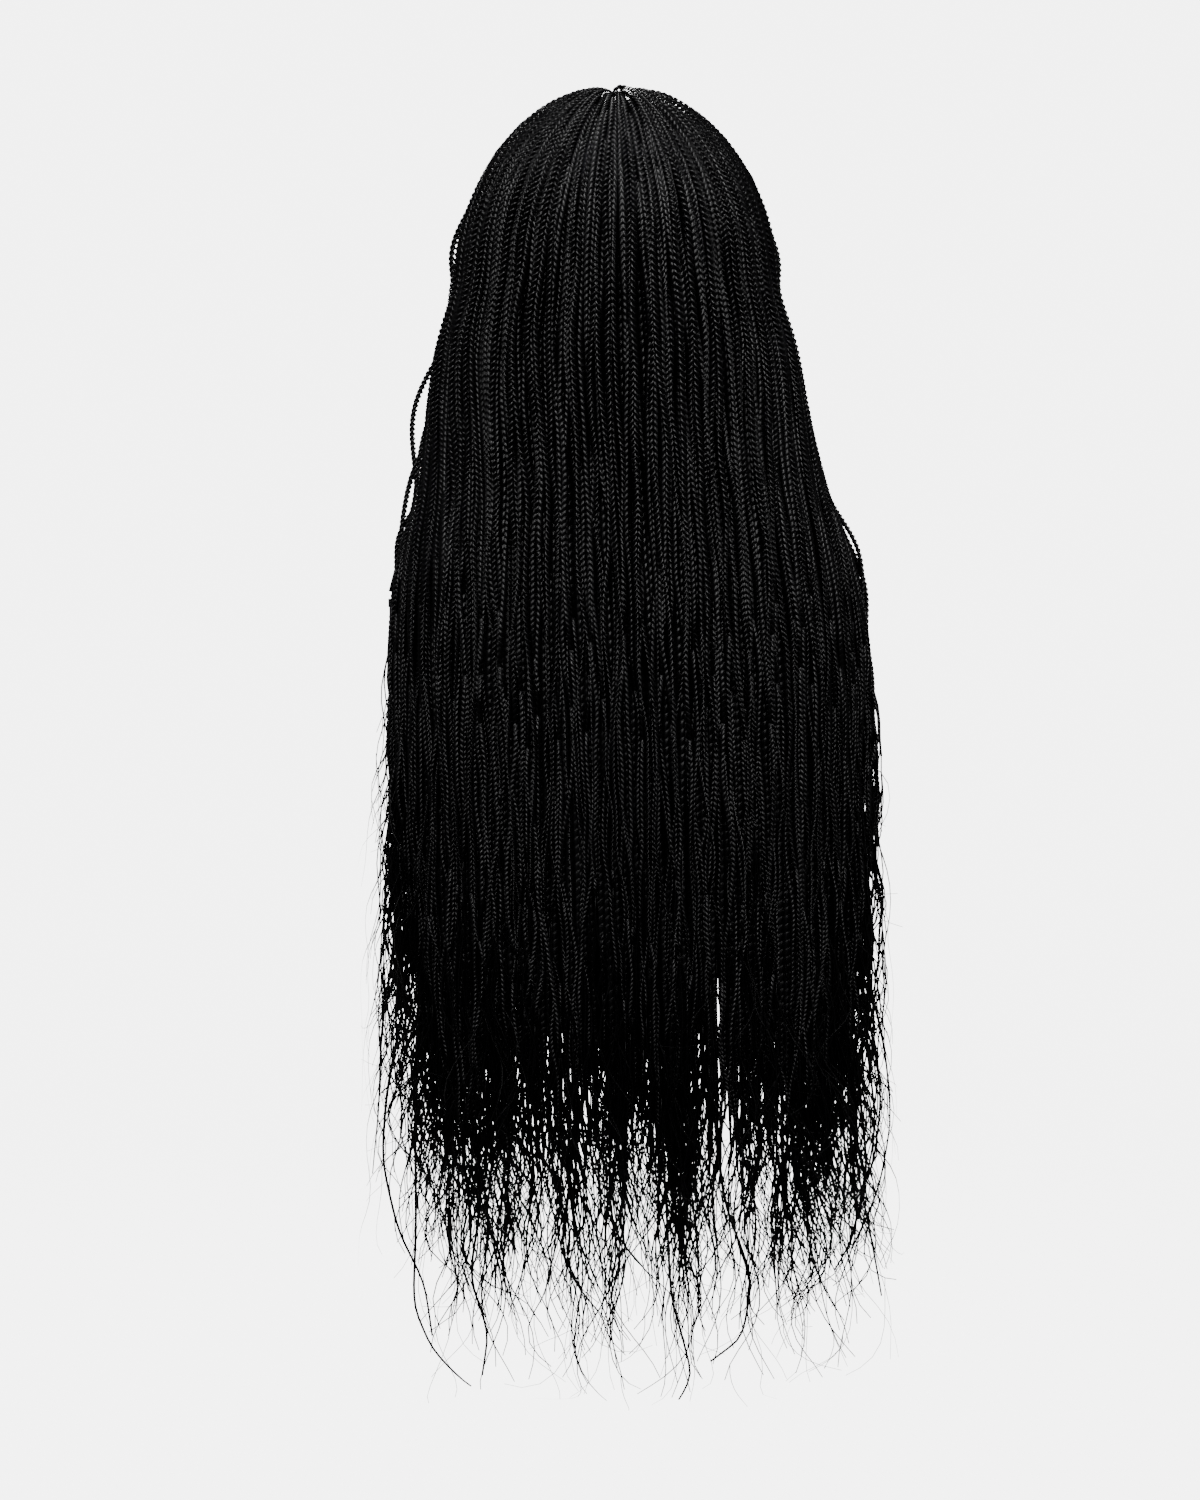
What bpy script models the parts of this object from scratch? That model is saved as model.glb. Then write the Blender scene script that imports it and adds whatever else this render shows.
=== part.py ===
"""A waist-length wig of fine black rope twists, shaped as it sits on a head.

A thin stretch cap carries the twists. They leave a middle parting that runs from the forehead
to just behind the crown, lie over the cap, and hang behind the shoulders in a curved curtain
that ends in ragged tails. The twists are gathered here into locks, one solid for each.

Metres, +Z up. The wearer faces -Y, and their left is +X. The origin is the inside of the cap at
the top of the head, where the head carries the wig.
"""

from collections import namedtuple
from math import acos, cos, hypot, pi, radians, sin

import bmesh
import bpy
from mathutils import Vector

# The head that the cap fits
HEAD_WIDTH = 0.152
HEAD_DEPTH = 0.192
CROWN_TO_WIDEST = 0.095

# Cap: its wall, and its rim as an angle down from the crown
CAP_WALL = 0.0015
CAP_SEGMENTS = 32
CAP_RINGS = 10
RIM_FORWARD_DEG = 56.0
RIM_NAPE_DEG = 130.0

# Hair over the cap, measured outwards from the cap
CROWN_HAIR = 0.0090
SIDE_HAIR = 0.0290
BACK_HAIR = 0.0245
BROW_HAIR = 0.0075
EAR_DROP = 0.125
LAY_GAP = 0.0004
TUCK_DEG = 4.0

# Parting
PARTING_WIDTH = 0.005
PARTING_BACK = 0.026
PARTING_CROWN = 0.002
PARTING_FRONT = 0.078

# Curtain behind the shoulders
FACE_OPENING_DEG = 62.0
SHOULDER_DROP = 0.325
TAIL_DROP = 0.600
LONGEST_DROP = 0.800
CURTAIN_WIDTH = 0.308
CURTAIN_REACH = 0.129
CURTAIN_CENTRE = 0.050
CURTAIN_SIDE_HAIR = 0.028
NAPE_HAIR = 0.048
NAPE_LAG = 0.016
EDGE_HOOK = 0.005
SWAY = 0.015
TAIL_RAGGED = 0.070
TAIL_SIDE_RISE = 0.045
TAIL_SWING = 0.006

# Locks
LOCKS_A_SIDE = 12
LOCK_GAP = 0.0007
DOME_STEPS = 9
SMOOTH_BELOW_DEG = 50.0

# Shares and beats. CROWN_SHARE: how much of the locks on a side leave the parting behind the crown.
# CLOSING_SHARE: how much of those leave where the parting closes. EDGE_FROM: the place from which
# the hair thins towards the face. EDGE_THINNING: how much thinner it is there. TIP_BEAT and
# SWING_BEAT: radians from one lock to the next in how the tips and the swings vary.
CROWN_SHARE = 0.55
CLOSING_SHARE = 0.25
EDGE_FROM = 0.7
EDGE_THINNING = 0.5
TIP_BEAT = 2.4
SWING_BEAT = 1.7

HAIR_COLOUR = (0.006, 0.006, 0.0075, 1.0)
CAP_COLOUR = (0.010, 0.009, 0.010, 1.0)

# Cap rim: turn is the share of the way from the nape round to the forehead, and drop is the
# share of the way from the forehead's rim angle to the nape's.
RimRow = namedtuple("RimRow", "turn drop")
RIM_ROWS = (
    RimRow(turn=0.00, drop=1.00),
    RimRow(turn=0.20, drop=0.95),
    RimRow(turn=0.36, drop=0.80),
    RimRow(turn=0.50, drop=0.66),
    RimRow(turn=0.60, drop=0.60),
    RimRow(turn=0.68, drop=0.44),
    RimRow(turn=0.80, drop=0.18),
    RimRow(turn=1.00, drop=0.00),
)

# Curtain sections. way: share of the drop, from the ears to the shoulders in NECK_ROWS and from
# the shoulders to the tails in FALL_ROWS. widen: from the head's hair width to the curtain's.
# reach: from the head's back to the curtain's. centre, side, back, lag and sway: shares of
# CURTAIN_CENTRE, CURTAIN_SIDE_HAIR, NAPE_HAIR, NAPE_LAG and SWAY. wrap: how much of the turn past
# square, towards the face, is left. END_ROW is the section at the longest tip.
CurtainRow = namedtuple("CurtainRow", "way widen reach centre wrap side back lag sway")
EAR_ROW = CurtainRow(0.000, 0.00, 0.00, 0.08, 1.00, 1.00, 1.00, 1.0, 0.00)
NECK_ROWS = (
    CurtainRow(0.180, 0.26, 0.25, 0.08, 0.86, 1.00, 1.00, 1.0, 0.00),
    CurtainRow(0.345, 0.38, 0.25, 0.20, 0.68, 1.00, 0.96, 0.4, 0.05),
    CurtainRow(0.505, 0.48, 0.10, 0.36, 0.46, 1.00, 0.89, 0.0, 0.15),
    CurtainRow(0.670, 0.62, 0.05, 0.56, 0.25, 1.00, 0.80, 0.0, 0.30),
    CurtainRow(0.800, 0.80, 0.10, 0.72, 0.11, 1.00, 0.73, 0.0, 0.36),
    CurtainRow(0.900, 0.88, 0.25, 0.84, 0.04, 0.96, 0.67, 0.0, 0.42),
    CurtainRow(1.000, 0.95, 0.45, 0.92, 0.00, 0.93, 0.64, 0.0, 0.48),
)
FALL_ROWS = (
    CurtainRow(0.11, 0.99, 0.75, 0.96, 0.0, 0.90, 0.63, 0.0, 0.55),
    CurtainRow(0.23, 1.00, 0.90, 1.00, 0.0, 0.90, 0.63, 0.0, 0.62),
    CurtainRow(0.47, 0.99, 1.00, 1.00, 0.0, 0.84, 0.62, 0.0, 0.70),
    CurtainRow(0.73, 0.97, 0.90, 1.00, 0.0, 0.78, 0.58, 0.0, 0.80),
    CurtainRow(1.00, 0.93, 0.70, 1.00, 0.0, 0.74, 0.52, 0.0, 0.90),
)
END_ROW = CurtainRow(1.0, 0.78, -0.60, 1.10, 0.0, 0.60, 0.34, 0.0, 1.20)

# Tails. way: share of the drop from TAIL_DROP to the lock's own tip. keep: share of the lock's
# breadth and thickness that is left. swing: share of TAIL_SWING.
TailRow = namedtuple("TailRow", "way keep swing")
TAIL_ROWS = (
    TailRow(way=0.28, keep=0.90, swing=0.10),
    TailRow(way=0.54, keep=0.70, swing=0.45),
    TailRow(way=0.78, keep=0.44, swing=1.00),
    TailRow(way=1.00, keep=0.16, swing=0.60),
)

# One lock's section. across: from one side of the lock to the other. depth: 0 at the outer face of
# the hair, 1 at the inner.
Corner = namedtuple("Corner", "across depth")
LOCK_SECTION = (
    Corner(across=0.00, depth=0.26),
    Corner(across=0.22, depth=0.05),
    Corner(across=0.50, depth=0.00),
    Corner(across=0.78, depth=0.05),
    Corner(across=1.00, depth=0.26),
    Corner(across=1.00, depth=1.00),
    Corner(across=0.50, depth=1.00),
    Corner(across=0.00, depth=1.00),
)


def mix(start, end, share):
    return start + (end - start) * share


def smooth_step(share):
    share = min(max(share, 0.0), 1.0)
    return share * share * (3.0 - 2.0 * share)


class Shell:
    """Half an egg, level at its widest, that the hair or the cap follows."""

    def __init__(self, half_width, back, front, height, widest_drop):
        self.half_width = half_width
        self.back = back
        self.front = front
        self.height = height
        self.widest_drop = widest_drop

    def grown(self, lift):
        """The same shell, larger by a factor about the middle of its widest level."""
        return Shell(
            self.half_width * lift,
            self.back * lift,
            self.front * lift,
            self.height * lift,
            self.widest_drop,
        )

    def point(self, direction):
        reach = self.back if direction.y > 0 else self.front
        return Vector((
            self.half_width * direction.x,
            reach * direction.y,
            self.height * direction.z - self.widest_drop,
        ))

    def direction_at(self, x, y):
        """The direction whose point stands above this place in plan."""
        across = x / self.half_width
        along = y / (self.back if y > 0 else self.front)
        return Vector((across, along, (1.0 - across * across - along * along) ** 0.5))


def shell_outside_head(distance):
    """A shell at a distance from the head."""
    return Shell(
        HEAD_WIDTH / 2 + distance,
        HEAD_DEPTH / 2 + distance,
        HEAD_DEPTH / 2 + distance,
        CROWN_TO_WIDEST + distance,
        CROWN_TO_WIDEST,
    )


HEAD_SHELL = shell_outside_head(0.0)
LAY_SHELL = shell_outside_head(CAP_WALL + LAY_GAP)
HAIR_SHELL = Shell(
    HEAD_WIDTH / 2 + CAP_WALL + SIDE_HAIR,
    HEAD_DEPTH / 2 + CAP_WALL + BACK_HAIR,
    HEAD_DEPTH / 2 + CAP_WALL + BROW_HAIR,
    EAR_DROP + CAP_WALL + CROWN_HAIR,
    EAR_DROP,
)
EDGE_TURN = pi - radians(FACE_OPENING_DEG)


def rim_angle(turn):
    """The cap's rim, as an angle down from the crown. turn: 0 at the nape, pi at the forehead."""
    place = abs(turn) / pi
    drop = RIM_ROWS[-1].drop
    for near, far in zip(RIM_ROWS, RIM_ROWS[1:]):
        if near.turn <= place <= far.turn:
            drop = mix(near.drop, far.drop, (place - near.turn) / (far.turn - near.turn))
    return radians(mix(RIM_FORWARD_DEG, RIM_NAPE_DEG, drop))


def round_the_head(turn, down):
    """A direction from the head's middle. down is the angle from straight up."""
    return Vector((sin(turn) * sin(down), cos(turn) * sin(down), cos(down)))


def parting_root(place):
    """Where a flow line leaves the parting, in plan. place: -1 and 1 at the face, 0 at the back."""
    away = abs(place)
    if away < CROWN_SHARE:
        y = mix(PARTING_BACK, PARTING_CROWN, away / CROWN_SHARE)
    else:
        y = mix(PARTING_CROWN, -PARTING_FRONT, (away - CROWN_SHARE) / (1.0 - CROWN_SHARE))
    side = 1.0 if place > 0 else -1.0
    return side * PARTING_WIDTH / 2 * min(1.0, away / (CROWN_SHARE * CLOSING_SHARE)), y


def along_arc(start, end, share):
    """A direction part of the way along the great circle from start to end."""
    whole = acos(min(1.0, start.dot(end)))
    return (start * sin((1.0 - share) * whole) + end * sin(share * whole)) / sin(whole)


def thickness_kept(place):
    """Share of the thickness that is left towards the face."""
    return 1.0 - EDGE_THINNING * smooth_step((abs(place) - EDGE_FROM) / (1.0 - EDGE_FROM))


def dome_pair(place, share):
    """Outer and inner points of the hair over the cap, share of the way from parting to ear level."""
    turn = place * EDGE_TURN
    root = parting_root(place)
    under = rim_angle(turn) - radians(TUCK_DEG)
    # Flat faces cut the curve's corners, so the inner ones start that much further out.
    lift = 1.0 / cos(under / (2 * DOME_STEPS)) / cos(EDGE_TURN / (4 * LOCKS_A_SIDE))
    lay = LAY_SHELL.grown(lift)
    inner = lay.point(along_arc(lay.direction_at(*root), round_the_head(turn, under), share))
    level = round_the_head(turn, pi / 2)
    outer = HAIR_SHELL.point(along_arc(HAIR_SHELL.direction_at(*root), level, share))
    return inner.lerp(outer, thickness_kept(place)), inner


def section_at(drop):
    """The curtain's section at a level below the ears, between the tables' rows."""
    levels = [(EAR_DROP, EAR_ROW)]
    levels += [(mix(EAR_DROP, SHOULDER_DROP, row.way), row) for row in NECK_ROWS]
    levels += [(mix(SHOULDER_DROP, TAIL_DROP, row.way), row) for row in FALL_ROWS]
    levels.append((LONGEST_DROP, END_ROW))
    for (high, upper), (low, lower) in zip(levels, levels[1:]):
        if high <= drop <= low:
            share = (drop - high) / (low - high)
            return CurtainRow(*(mix(a, b, share) for a, b in zip(upper, lower)))
    return END_ROW


def curtain_pair(place, drop):
    """Outer and inner points of the hanging hair at a level."""
    row = section_at(drop)
    half_width = mix(HAIR_SHELL.half_width, CURTAIN_WIDTH / 2, row.widen)
    back = mix(HAIR_SHELL.back, CURTAIN_REACH, row.reach)
    centre = CURTAIN_CENTRE * row.centre
    turn = place * mix(pi / 2, EDGE_TURN, row.wrap)
    full = CURTAIN_SIDE_HAIR * row.side
    side_hair = full * thickness_kept(place)
    # Beside the face the hair thins from outside, and behind the shoulders from inside.
    outside = half_width - (full - side_hair) * row.wrap
    lean = -SWAY * row.sway
    lag = NAPE_LAG * row.lag * max(0.0, cos(turn)) ** 2
    hook = EDGE_HOOK * abs(sin(turn)) * row.side
    outer = Vector((
        lean + outside * sin(turn),
        centre + (back - centre) * cos(turn),
        -drop,
    ))
    inner = Vector((
        lean + (outside - side_hair) * sin(turn),
        centre + (back - centre - NAPE_HAIR * row.back) * cos(turn) - hook,
        -drop - lag,
    ))
    return outer, inner


def lock_tip(number):
    """How far down a lock ends. Neighbours differ, and the sides are shorter than the middle."""
    place = (number + 0.5) / LOCKS_A_SIDE - 1.0
    ragged = 0.5 + 0.5 * sin(number * TIP_BEAT)
    return LONGEST_DROP - TAIL_RAGGED * ragged - TAIL_SIDE_RISE * place * place


def ring_at(first, last, pair_at):
    """A lock's section: its corners between two flow lines, held back from its neighbours."""
    middle = mix(first, last, 0.5)
    corners = []
    for corner in LOCK_SECTION:
        outer, inner = pair_at(mix(first, last, corner.across))
        point = outer.lerp(inner, corner.depth)
        if corner.across in (0.0, 1.0):
            outer, inner = pair_at(middle)
            inwards = outer.lerp(inner, corner.depth) - point
            point = point + inwards.normalized() * min(LOCK_GAP / 2, inwards.length / 2)
        corners.append(point)
    return corners


def shrunk(ring, keep, swing):
    """A tail's section, drawn in towards its middle and swung sideways."""
    middle = sum(ring, Vector()) / len(ring)
    return [middle + (point - middle) * keep + Vector((swing, 0.0, 0.0)) for point in ring]


def lock_rings(number):
    """Every section of one lock, from the parting to the tip."""
    first = number / LOCKS_A_SIDE - 1.0
    last = (number + 1) / LOCKS_A_SIDE - 1.0

    def curtain_ring(drop):
        return ring_at(first, last, lambda place: curtain_pair(place, drop))

    def dome_ring(share):
        return ring_at(first, last, lambda place: dome_pair(place, share))

    rings = [dome_ring(step / DOME_STEPS) for step in range(DOME_STEPS + 1)]
    rings += [curtain_ring(mix(EAR_DROP, SHOULDER_DROP, row.way)) for row in NECK_ROWS]
    rings += [curtain_ring(mix(SHOULDER_DROP, TAIL_DROP, row.way)) for row in FALL_ROWS]
    swing = TAIL_SWING * cos(number * SWING_BEAT)
    for row in TAIL_ROWS:
        ring = curtain_ring(mix(TAIL_DROP, lock_tip(number), row.way))
        rings.append(shrunk(ring, row.keep, swing * row.swing))
    return rings


def add_object(name, mesh, material, collection):
    mesh.materials.append(material)
    piece = bpy.data.objects.new(name, mesh)
    collection.objects.link(piece)
    return piece


def lofted(name, rings):
    """A closed body through rings of equal count, with a flat face at each end.

    Both sides of a lock are split from the outer face down to the inner one, so that the sides of
    neighbours run alike.
    """
    body = bmesh.new()
    corners = [[body.verts.new(point) for point in ring] for ring in rings]
    count = len(rings[0])
    for upper, lower in zip(corners, corners[1:]):
        for i in range(count):
            j = (i + 1) % count
            if i <= count / 2:
                body.faces.new((upper[i], upper[j], lower[j]))
                body.faces.new((upper[i], lower[j], lower[i]))
            else:
                body.faces.new((upper[i], upper[j], lower[i]))
                body.faces.new((upper[j], lower[j], lower[i]))
    body.faces.new(corners[0])
    body.faces.new(reversed(corners[-1]))
    bmesh.ops.recalc_face_normals(body, faces=body.faces)
    mesh = bpy.data.meshes.new(name)
    body.to_mesh(mesh)
    body.free()
    mesh.shade_smooth()
    mesh.set_sharp_from_angle(angle=radians(SMOOTH_BELOW_DEG))
    return mesh


def build_cap(material, collection):
    """The cap: the top half of a sphere, drawn down to the rim and given its wall."""
    body = bmesh.new()
    bmesh.ops.create_uvsphere(body, u_segments=CAP_SEGMENTS, v_segments=2 * CAP_RINGS, radius=1.0)
    below = [vertex for vertex in body.verts if vertex.co.z < -0.5 / CAP_RINGS]
    bmesh.ops.delete(body, geom=below, context="VERTS")
    for vertex in body.verts:
        out = hypot(vertex.co.x, vertex.co.y)
        turn = acos(max(-1.0, min(1.0, vertex.co.y / out))) if out > 1e-6 else 0.0
        side = 1.0 if vertex.co.x > 0 else -1.0
        share = acos(max(-1.0, min(1.0, vertex.co.z))) / (pi / 2)
        vertex.co = HEAD_SHELL.point(round_the_head(side * turn, share * rim_angle(turn)))
    bmesh.ops.recalc_face_normals(body, faces=body.faces)
    mesh = bpy.data.meshes.new("wig_cap")
    body.to_mesh(mesh)
    body.free()
    mesh.shade_smooth()
    cap = add_object("wig_cap", mesh, material, collection)
    wall = cap.modifiers.new("wall", "SOLIDIFY")
    wall.thickness = CAP_WALL
    wall.offset = 1.0


def build_locks(material, collection):
    """The locks, numbered on each side of the head from the middle of the back to the face."""
    for number in range(2 * LOCKS_A_SIDE):
        if number < LOCKS_A_SIDE:
            name = f"lock_right_{LOCKS_A_SIDE - number:02d}"
        else:
            name = f"lock_left_{number - LOCKS_A_SIDE + 1:02d}"
        add_object(name, lofted(name, lock_rings(number)), material, collection)


def make_material(name, colour, roughness):
    material = bpy.data.materials.new(name)
    material.use_nodes = True
    shader = material.node_tree.nodes["Principled BSDF"]
    shader.inputs["Base Color"].default_value = colour
    shader.inputs["Roughness"].default_value = roughness
    shader.inputs["Metallic"].default_value = 0.0
    return material


def build_wig():
    for old in list(bpy.data.objects):
        bpy.data.objects.remove(old)
    collection = bpy.data.collections.new("twist_wig")
    bpy.context.scene.collection.children.link(collection)
    build_cap(make_material("cap_mesh", CAP_COLOUR, 0.9), collection)
    build_locks(make_material("twisted_hair", HAIR_COLOUR, 0.45), collection)


build_wig()
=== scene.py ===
# %% [markdown]
# A waist-length wig of fine black rope twists, seen from behind.
#
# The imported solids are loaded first. They give the cap and the gathered locks, and the twists
# that are modelled here follow their form.

from collections import namedtuple
from math import acos, hypot, pi, radians

import bpy
import numpy as np
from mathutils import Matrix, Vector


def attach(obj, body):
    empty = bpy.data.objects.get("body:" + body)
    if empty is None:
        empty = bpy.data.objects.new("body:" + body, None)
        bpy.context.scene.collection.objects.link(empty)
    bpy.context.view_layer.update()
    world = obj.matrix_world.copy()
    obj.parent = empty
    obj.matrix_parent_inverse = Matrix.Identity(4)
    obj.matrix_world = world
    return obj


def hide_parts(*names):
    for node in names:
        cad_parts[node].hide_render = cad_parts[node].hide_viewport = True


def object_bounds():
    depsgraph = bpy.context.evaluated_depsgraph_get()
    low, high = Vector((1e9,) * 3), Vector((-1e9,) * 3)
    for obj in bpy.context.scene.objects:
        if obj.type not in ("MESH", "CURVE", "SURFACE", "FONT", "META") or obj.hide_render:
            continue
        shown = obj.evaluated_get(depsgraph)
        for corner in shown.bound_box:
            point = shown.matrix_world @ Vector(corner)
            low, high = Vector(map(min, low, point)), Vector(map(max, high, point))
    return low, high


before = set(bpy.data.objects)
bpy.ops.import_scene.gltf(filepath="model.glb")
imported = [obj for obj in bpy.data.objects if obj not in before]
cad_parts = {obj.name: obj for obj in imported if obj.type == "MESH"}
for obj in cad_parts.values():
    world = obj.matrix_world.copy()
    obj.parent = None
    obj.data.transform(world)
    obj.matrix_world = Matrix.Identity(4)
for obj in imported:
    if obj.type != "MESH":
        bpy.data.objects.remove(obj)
cad_low, cad_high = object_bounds()
print("solids:", len(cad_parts), "box mm:", [round(1000 * side) for side in cad_high - cad_low])

# %% [markdown]
# The photograph was taken from behind with a long lens, level with the middle of the hair. A
# pixel there is 0.65 mm at the head. So the camera stands far back, looks along -Y, and is moved
# sideways and down until the head sits where it does in the picture. Nothing is shifted or
# blurred.

# %% Camera
MM = 0.001
PIXEL = 0.65 * MM
IMAGE_WIDE, IMAGE_HIGH = 1200, 1500
HEAD_MIDDLE_PIXEL = 616
CROWN_PIXEL = 102
LENS_MM = 85.0
SENSOR_MM = 36.0

camera_distance = IMAGE_HIGH * PIXEL * LENS_MM / SENSOR_MM
camera_side = (HEAD_MIDDLE_PIXEL - IMAGE_WIDE / 2) * PIXEL
camera_level = -(IMAGE_HIGH / 2 - CROWN_PIXEL) * PIXEL

bpy.ops.object.select_all(action="DESELECT")
bpy.ops.object.camera_add(location=(camera_side, camera_distance, camera_level), rotation=(pi / 2, 0.0, pi))
camera = bpy.context.object
camera.name = "camera"
camera.data.lens = LENS_MM
camera.data.sensor_width = SENSOR_MM
camera.data.clip_start = 0.05
camera.data.clip_end = 60.0
bpy.context.scene.camera = camera
print("camera stands", round(camera_distance, 2), "m behind the head")

# %% [markdown]
# Colours are written as sRGB hex values, as a colour picker shows them. Blender's sockets want
# linear light, so one function turns them.

# %% Colours and nodes


def linear(code):
    """An sRGB hex value as linear red, green, blue and alpha."""
    parts = [int(code[i:i + 2], 16) / 255 for i in (1, 3, 5)]
    return tuple(p / 12.92 if p <= 0.04045 else ((p + 0.055) / 1.055) ** 2.4 for p in parts) + (1.0,)


def add_node(tree, kind, settings=(), sockets=(), links=()):
    """A node with its settings, its sockets' values and its links from (node, output) pairs."""
    node = tree.nodes.new(kind)
    for name, value in dict(settings).items():
        setattr(node, name, value)
    for name, value in dict(sockets).items():
        node.inputs[name].default_value = value
    for name, (source, output) in dict(links).items():
        tree.links.new(source.outputs[output], node.inputs[name])
    return node


def new_material(name):
    material = bpy.data.materials.new(name)
    material.use_nodes = True
    tree = material.node_tree
    return material, tree, tree.nodes["Principled BSDF"]


# %% [markdown]
# A studio sweep of pale seamless paper: a floor that curves up into a wall on every side, so
# that no view has a horizon line. It is a wide, low drum without a lid, whose bottom edge is
# bevelled round and whose faces are turned to look inwards.

# %% Sweep
FLOOR_LEVEL = -1.02
SWEEP_RADIUS = 5.2
SWEEP_CURVE = 1.6
SWEEP_HEIGHT = 4.6

bpy.ops.object.select_all(action="DESELECT")
bpy.ops.mesh.primitive_cylinder_add(
    vertices=96, radius=SWEEP_RADIUS, depth=SWEEP_HEIGHT, location=(0.0, 0.0, FLOOR_LEVEL + SWEEP_HEIGHT / 2)
)
sweep = bpy.context.object
sweep.name = "studio_sweep"


def select_faces(piece, wanted):
    """Leaves edit mode open with only the faces selected whose normal is wanted."""
    bpy.ops.object.mode_set(mode="EDIT")
    bpy.ops.mesh.select_mode(type="FACE")
    bpy.ops.mesh.select_all(action="DESELECT")
    bpy.ops.object.mode_set(mode="OBJECT")
    for face in piece.data.polygons:
        face.select = wanted(face.normal)
    bpy.ops.object.mode_set(mode="EDIT")


select_faces(sweep, lambda normal: normal.z > 0.9)
bpy.ops.mesh.delete(type="FACE")
select_faces(sweep, lambda normal: normal.z < -0.9)
bpy.ops.mesh.bevel(offset=SWEEP_CURVE, segments=12)
bpy.ops.mesh.select_all(action="SELECT")
bpy.ops.mesh.normals_make_consistent(inside=True)
bpy.ops.object.mode_set(mode="OBJECT")
bpy.ops.object.shade_smooth()
print("sweep:", len(sweep.data.polygons), "faces")

# %% [markdown]
# White paper under studio flash is close to clipping all over. It is lit evenly here by a little
# light of its own, so that the lamps can be set for the hair alone, and the hair's shine doesn't
# mirror it.

# %% Paper
PAPER_GLOW = 5.6
ROOM_GLOW = 0.05

paper, tree, shader = new_material("seamless_paper")
shader.inputs["Base Color"].default_value = linear("#7c7c7d")
shader.inputs["Roughness"].default_value = 0.9
shader.inputs["Specular IOR Level"].default_value = 0.1
shader.inputs["Emission Color"].default_value = linear("#ffffff")
shader.inputs["Emission Strength"].default_value = PAPER_GLOW
sweep.data.materials.append(paper)
sweep.visible_glossy = False
sweep.visible_diffuse = False

world = bpy.data.worlds.new("studio")
bpy.context.scene.world = world
world.use_nodes = True
world.node_tree.nodes["Background"].inputs["Color"].default_value = linear("#ffffff")
world.node_tree.nodes["Background"].inputs["Strength"].default_value = ROOM_GLOW
print("paper:", paper.name)

# %% [markdown]
# The main lamp is a wide bank: its shine runs along each strand of a twist. Places, aims and the
# lamps' own sizes are in metres. A lamp shines along its own -Z. It is tipped over by the angle
# between that and its aim, and then turned about the upright axis towards the hair.

# %% Lamps
LAMP_SPREAD_DEG = 120

Lamp = namedtuple("Lamp", "name place aim wide high watts")
LAMPS = (
    Lamp("key_bank", (0.1, 2.4, 1.80), (0.0, 0.0, 0.00), 3.2, 1.2, 18.0),
    Lamp("side_left", (2.3, 1.2, 1.20), (0.0, 0.0, -0.10), 1.4, 1.2, 5.0),
    Lamp("side_right", (-2.3, 1.2, 1.15), (0.0, 0.0, -0.10), 1.4, 1.2, 4.4),
    Lamp("top", (0.0, 0.9, 1.9), (0.0, 0.0, -0.1), 1.2, 1.2, 11.0),
    Lamp("front", (0.5, -3.0, 1.4), (0.0, 0.0, -0.3), 1.2, 1.2, 60.0),
)
for lamp in LAMPS:
    bpy.ops.object.light_add(type="AREA", location=lamp.place)
    light = bpy.context.object
    light.name = lamp.name
    light.data.shape = "ELLIPSE"
    light.data.size = lamp.wide
    light.data.size_y = lamp.high
    light.data.energy = lamp.watts
    light.data.spread = radians(LAMP_SPREAD_DEG)
    reach = [aim - place for aim, place in zip(lamp.aim, lamp.place)]
    light.rotation_euler = (acos(-reach[2] / hypot(*reach)), 0.0, np.arctan2(-reach[0], reach[1]))
print("studio:", len(LAMPS), "soft lamps")

# %% [markdown]
# The hair is modacrylic fibre, laid up by hand in two strands that are twisted into a rope
# about 4 mm thick. Black fibre hides its colour: what the eye sees is a sharp shine on the crest
# of each turn, and deep shade where the two strands meet. On top of the modelled form a bump
# follows the twist's UV map, whose U runs round the rope and turns with it.

# %% Hair material
CREASE_DEPTH = 0.5 * MM
PATCH_SIZE = 25 * MM

hair, tree, shader = new_material("modacrylic_rope_twist")
uv = add_node(tree, "ShaderNodeUVMap", {"uv_map": "lay"})
split = add_node(tree, "ShaderNodeSeparateXYZ", links={"Vector": (uv, "UV")})
turned = add_node(tree, "ShaderNodeMath", {"operation": "MULTIPLY"}, {1: 2 * pi}, {0: (split, "X")})
wave = add_node(tree, "ShaderNodeMath", {"operation": "COSINE"}, links={0: (turned, "Value")})
crest = add_node(tree, "ShaderNodeMath", {"operation": "ABSOLUTE"}, links={0: (wave, "Value")})
crease = add_node(
    tree, "ShaderNodeBump", {}, {"Strength": 1.0, "Distance": CREASE_DEPTH}, {"Height": (crest, "Value")}
)
tree.links.new(crease.outputs["Normal"], shader.inputs["Normal"])
place = add_node(tree, "ShaderNodeTexCoord")
patches = add_node(
    tree, "ShaderNodeTexNoise", {}, {"Scale": 1 / PATCH_SIZE, "Detail": 2.0}, {"Vector": (place, "Object")}
)
shine = add_node(
    tree,
    "ShaderNodeMapRange",
    {},
    {"From Min": 0.3, "From Max": 0.7, "To Min": 0.20, "To Max": 0.32},
    {"Value": (patches, "Fac")},
)
shade = add_node(
    tree,
    "ShaderNodeMapRange",
    {},
    {"From Min": 0.15, "From Max": 0.60, "To Min": 0.15, "To Max": 0.0},
    {"Value": (crest, "Value")},
)
dulled = add_node(
    tree, "ShaderNodeMath", {"operation": "ADD"}, {}, {0: (shine, "Result"), 1: (shade, "Result")}
)
tree.links.new(dulled.outputs["Value"], shader.inputs["Roughness"])
tint = add_node(
    tree,
    "ShaderNodeMix",
    {"data_type": "RGBA"},
    {"A": linear("#070708"), "B": linear("#0c0b0e")},
    {"Factor": (patches, "Fac")},
)
tree.links.new(tint.outputs["Result"], shader.inputs["Base Color"])
shader.inputs["IOR"].default_value = 1.45
shader.inputs["Specular IOR Level"].default_value = 0.5
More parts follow.
